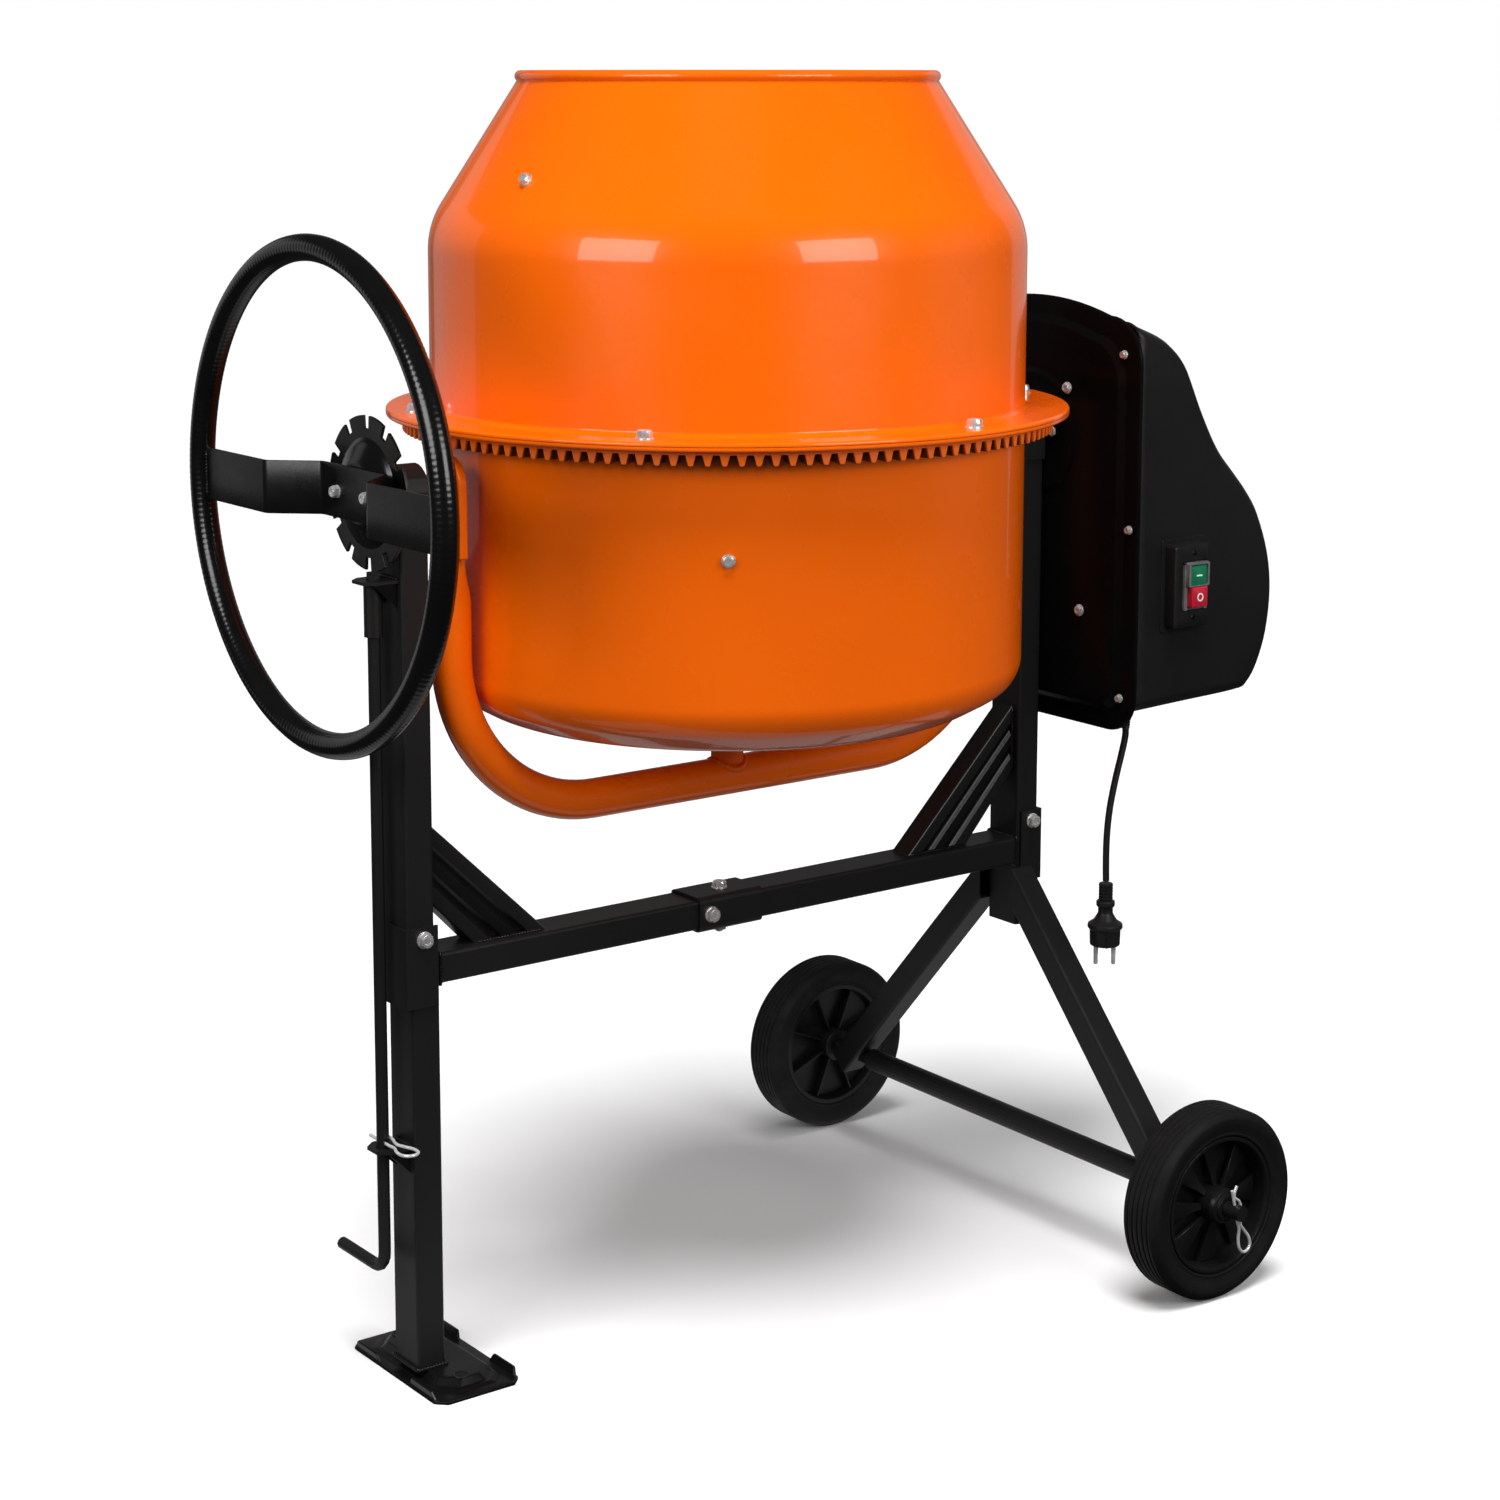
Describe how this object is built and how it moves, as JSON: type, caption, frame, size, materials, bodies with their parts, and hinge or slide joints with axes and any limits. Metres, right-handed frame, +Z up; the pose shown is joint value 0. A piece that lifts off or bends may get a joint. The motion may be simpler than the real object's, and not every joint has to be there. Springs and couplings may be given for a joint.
{
  "type": "concrete mixer",
  "caption": "Electric concrete mixer: a tilting steel drum with a ring gear in a yoke, on a stand with a foot plate and road wheels, with a handwheel and a motor housing.",
  "frame": {"origin": "on the floor, under the middle of the machine's box", "axes": "+Z up, +X along the crossbar from the handwheel to the motor housing, +Y from the switch side to the far side"},
  "size_m": [1.109, 0.7306, 1.2457],
  "materials": {
    "orange_paint": "gloss",
    "black_paint": "satin powder coat",
    "zinc_plate": "bright zinc",
    "bright_steel": "turned",
    "cast_iron": "as cast",
    "tyre_rubber": "matt",
    "black_plastic": "fine grain",
    "green_plastic": "satin",
    "red_plastic": "satin",
    "grey_plastic": "satin",
    "motor_aluminium": "cast"
  },
  "bodies": {
    "stand": {"foot_plate": "black_paint", "left_leg": "black_paint", "left_post": "black_paint", "right_post": "black_paint", "left_channel": "black_paint", "right_channel": "black_paint", "left_channel_bolt": "zinc_plate", "right_channel_bolt": "zinc_plate", "crossbar_left": "black_paint", "crossbar_right": "black_paint", "crossbar_sleeve": "black_paint", "sleeve_side_bolt": "zinc_plate", "sleeve_top_bolt": "zinc_plate", "left_brace": "black_paint", "right_brace": "black_paint", "left_bearing": "black_paint", "right_bearing": "black_paint", "front_wheel_leg": "black_paint", "rear_wheel_leg": "black_paint", "axle_shaft": "bright_steel", "axle_tube": "black_paint", "front_axle_clip": "zinc_plate", "rear_axle_clip": "zinc_plate", "rod_guide": "black_paint", "rod_lower_tab": "black_paint"},
    "front_wheel": {"front_wheel_tyre": "tyre_rubber", "front_wheel_rim": "black_plastic"},
    "rear_wheel": {"rear_wheel_tyre": "tyre_rubber", "rear_wheel_rim": "black_plastic"},
    "lock": {"lock_rod": "black_paint", "lock_rod_clip": "zinc_plate"},
    "tilt_frame": {"yoke": "orange_paint", "yoke_hub": "bright_steel", "tilt_shaft": "bright_steel", "drum_spindle": "bright_steel", "handwheel_rim": "black_paint", "handwheel_strap": "black_paint", "index_disc": "black_paint", "drive_belt": "tyre_rubber", "motor": "motor_aluminium", "motor_bracket": "black_paint", "housing_panel": "black_paint", "housing_cover": "black_plastic", "switch_box": "black_plastic", "switch_frame": "grey_plastic", "cord_gland": "black_plastic", "power_cord": "black_plastic", "mains_plug": "black_plastic"},
    "drum": {"lower_drum": "orange_paint", "upper_drum": "orange_paint", "drum_hub": "cast_iron", "ring_gear": "orange_paint", "mixing_blade_1": "orange_paint", "mixing_blade_2": "orange_paint"},
    "drive_train": {"drive_pinion": "bright_steel", "drive_shaft": "bright_steel", "large_pulley": "motor_aluminium"},
    "motor_rotor": {"motor_pulley": "motor_aluminium"},
    "on_button": {"on_button": "green_plastic"},
    "off_button": {"off_button": "red_plastic"}
  },
  "joints": [
    {"name": "drum_tilt", "type": "hinge", "parent": "stand", "child": "tilt_frame", "pos_m": [-0.0787, 0, 0.862], "axis": [1, 0, 0], "range_deg": [-120, 120]},
    {"name": "drum_spin", "type": "hinge", "parent": "tilt_frame", "child": "drum", "pos_m": [-0.0787, 0, 0.862], "axis": [0, 0, 1], "continuous": true},
    {"name": "drive_spin", "type": "hinge", "parent": "tilt_frame", "child": "drive_train", "pos_m": [-0.0787, 0, 0.862], "axis": [1, 0, 0], "continuous": true},
    {"name": "motor_spin", "type": "hinge", "parent": "tilt_frame", "child": "motor_rotor", "pos_m": [0.3613, 0, 0.665], "axis": [1, 0, 0], "continuous": true},
    {"name": "front_wheel_spin", "type": "hinge", "parent": "stand", "child": "front_wheel", "pos_m": [0.3013, -0.315, 0.1], "axis": [0, 1, 0], "continuous": true},
    {"name": "rear_wheel_spin", "type": "hinge", "parent": "stand", "child": "rear_wheel", "pos_m": [0.3013, 0.315, 0.1], "axis": [0, 1, 0], "continuous": true},
    {"name": "lock_slide", "type": "slide", "parent": "stand", "child": "lock", "axis": [0, 0, 1], "range_m": [0, 0.009]},
    {"name": "on_button_push", "type": "slide", "parent": "tilt_frame", "child": "on_button", "axis": [0, 1, 0], "range_m": [0, 0.003], "stiffness_N_per_m": 400},
    {"name": "off_button_push", "type": "slide", "parent": "tilt_frame", "child": "off_button", "axis": [0, 1, 0], "range_m": [0, 0.003], "stiffness_N_per_m": 400}
  ],
  "couplings": [
    {"joint": "drive_spin", "follows": "drum_spin", "ratio": -7.7647},
    {"joint": "motor_spin", "follows": "drum_spin", "ratio": -52.474}
  ]
}
